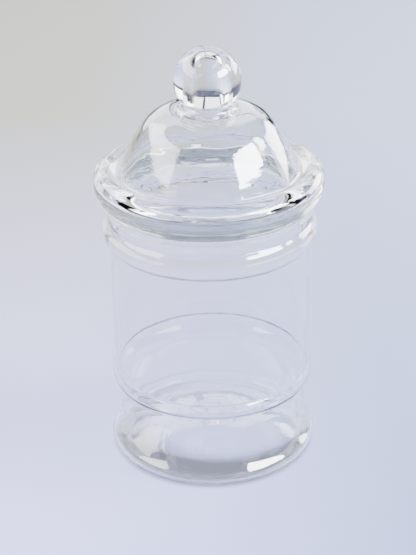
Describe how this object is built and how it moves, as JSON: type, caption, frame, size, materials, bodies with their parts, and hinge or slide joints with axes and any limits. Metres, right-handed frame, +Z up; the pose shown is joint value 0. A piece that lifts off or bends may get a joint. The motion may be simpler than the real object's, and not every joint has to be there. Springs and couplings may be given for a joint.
{
  "type": "lidded display jar",
  "caption": "Clear moulded plastic display jar with a waisted foot, a beaded neck and a domed push-in lid with a hollow ball knob and a ribbed sealing ring.",
  "frame": {"origin": "middle of the standing ring, at its lowest face", "axes": "+Z up along the jar's axis, towards the knob; the jar is the same all round, so +X and +Y are any two directions square to it"},
  "size_m": [0.0856, 0.0856, 0.1611],
  "materials": {
    "clear_jar": "clear, glossy, blow-moulded",
    "clear_lid": "clear, glossy, injection-moulded",
    "soft_seal": "clear, slightly milky, soft"
  },
  "bodies": {
    "jar": {"jar_body": "clear_jar"},
    "seal": {"seal_ring": "soft_seal"},
    "lid": {"lid": "clear_lid"}
  },
  "joints": [
    {"name": "lid_lift", "type": "slide", "parent": "jar", "child": "seal", "axis": [0, 0, 1], "range_m": [0, 0.06]},
    {"name": "lid_turn", "type": "hinge", "parent": "seal", "child": "lid", "pos_m": [0, 0, 0.11], "axis": [0, 0, 1], "continuous": true}
  ]
}
